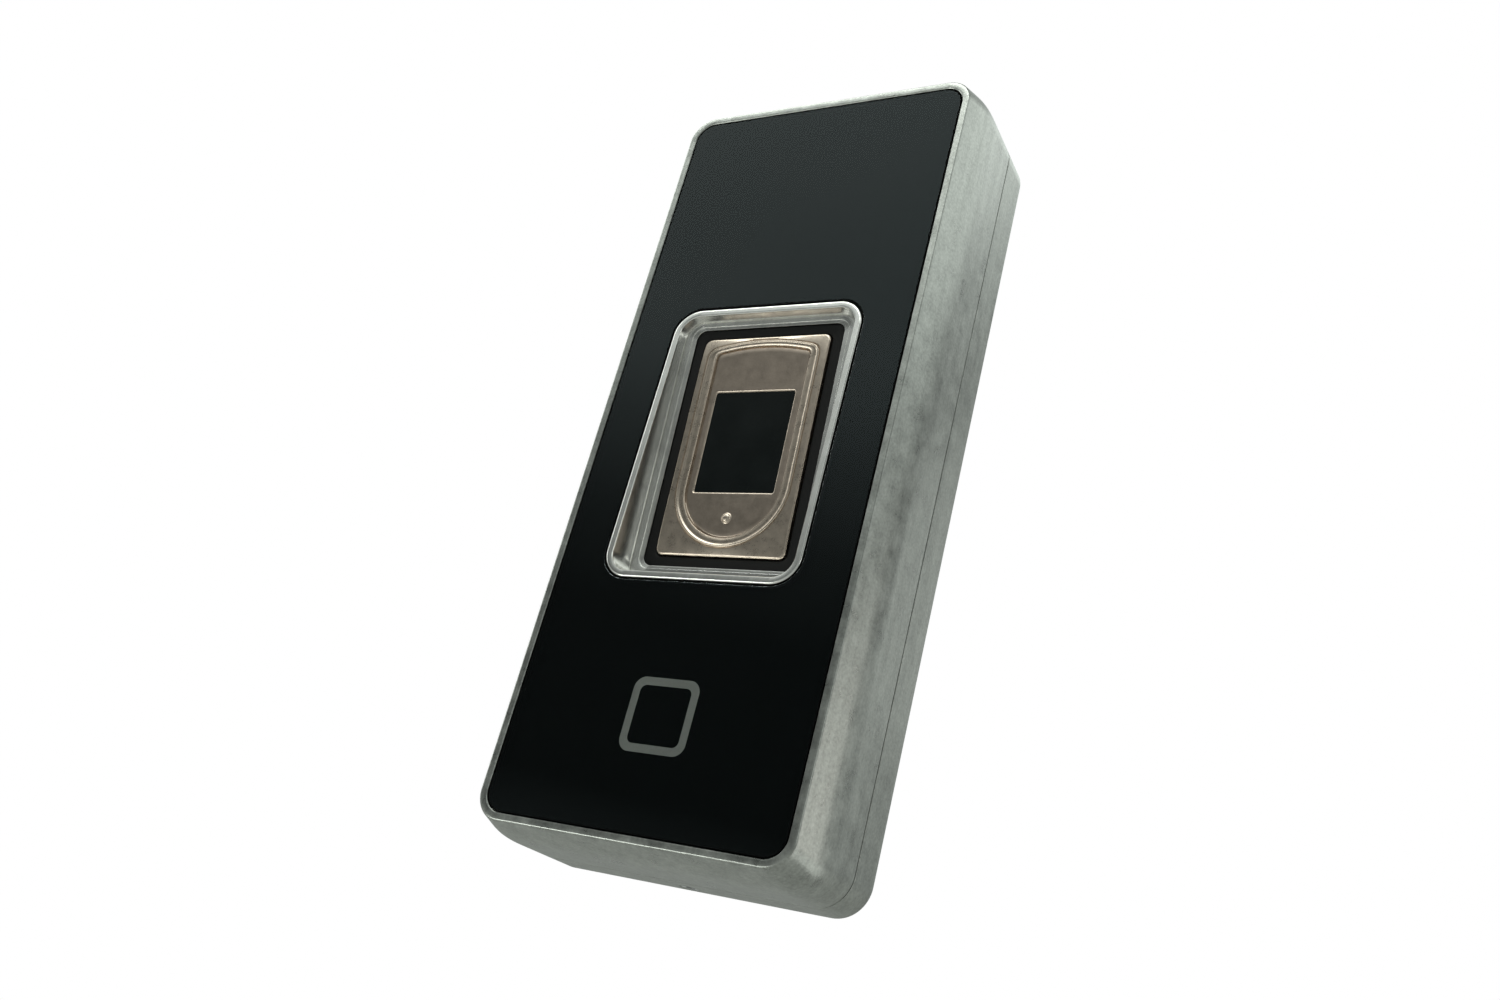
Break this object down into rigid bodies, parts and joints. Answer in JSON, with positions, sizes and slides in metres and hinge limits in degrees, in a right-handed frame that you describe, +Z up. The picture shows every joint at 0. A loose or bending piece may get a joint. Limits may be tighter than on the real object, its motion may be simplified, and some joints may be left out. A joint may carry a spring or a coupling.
{
  "type": "rfid card reader",
  "caption": "Slim wall-mounted access reader with a dark lens, a card symbol and a tilted finger-sensor well, in a satin metal case on a wall cover.",
  "frame": {"origin": "on the wall plane, midway between the two wall screws", "axes": "+Z up, -Y out of the reader's front face, +X to the right seen from the front"},
  "size_m": [0.0498, 0.0223, 0.1174],
  "materials": {
    "housing_metal": "satin die-cast metal",
    "lens_clear": "clear polished acrylic",
    "lens_ink": "black screen print",
    "icon_ink": "grey screen print",
    "tape_black": "foam tape",
    "ring_metal": "bright satin metal",
    "gasket_rubber": "matt rubber",
    "bezel_metal": "champagne satin metal",
    "die_black": "polished black",
    "board_green": "solder mask",
    "plastic_dark": "fine moulded grain",
    "steel_plate": "plain sheet steel",
    "screw_steel": "zinc plated",
    "flex_amber": "polyimide film",
    "connector_ivory": "moulded nylon",
    "coil_copper": "enamelled copper wire",
    "ferrite_grey": "ferrite film",
    "carrier_white": "moulded plastic",
    "guide_clear": "clear acrylic",
    "led_white": "moulded lens",
    "chip_black": "moulded epoxy",
    "can_aluminium": "drawn can",
    "pin_gold": "gold flash",
    "plunger_white": "acetal"
  },
  "bodies": {
    "wall_base": {"wall_cover": "housing_metal", "cable_grommet": "gasket_rubber"},
    "reader": {"front_housing": "housing_metal", "lens": "lens_clear", "lens_print": "lens_ink", "card_icon": "icon_ink", "lens_adhesive": "tape_black", "sensor_ring": "ring_metal", "sensor_gasket": "gasket_rubber", "sensor_bezel": "bezel_metal", "sensor_die": "die_black", "sensor_board": "board_green", "sensor_wedge": "plastic_dark", "sensor_clamp": "steel_plate", "sensor_screws": "screw_steel", "sensor_flex": "flex_amber", "flex_connector": "connector_ivory", "antenna_coil": "coil_copper", "ferrite_sheet": "ferrite_grey", "coil_carrier": "carrier_white", "light_guide": "guide_clear", "icon_led": "led_white", "main_board": "board_green", "board_chips": "chip_black", "capacitors": "can_aluminium", "buzzer": "plastic_dark", "board_screws": "screw_steel", "wire_header": "connector_ivory", "header_pins": "pin_gold", "tamper_switch": "plastic_dark", "tamper_spring": "screw_steel", "rear_plate": "plastic_dark", "rear_screws": "screw_steel"},
    "plunger": {"tamper_plunger": "plunger_white"},
    "lock": {"lock_screw": "screw_steel"}
  },
  "joints": [
    {"name": "reader_tilt", "type": "hinge", "parent": "wall_base", "child": "reader", "pos_m": [0, -0.0063, 0.05875], "axis": [-1, 0, 0], "range_deg": [0, 25]},
    {"name": "tamper_press", "type": "slide", "parent": "reader", "child": "plunger", "axis": [0, -1, 0], "range_m": [0, 0.0015], "stiffness_N_per_m": 150, "springref_m": -0.004, "deforming": ["tamper_spring"]},
    {"name": "lock_drive", "type": "slide", "parent": "wall_base", "child": "lock", "axis": [0, 0, 1], "range_m": [0, 0.0019]}
  ]
}
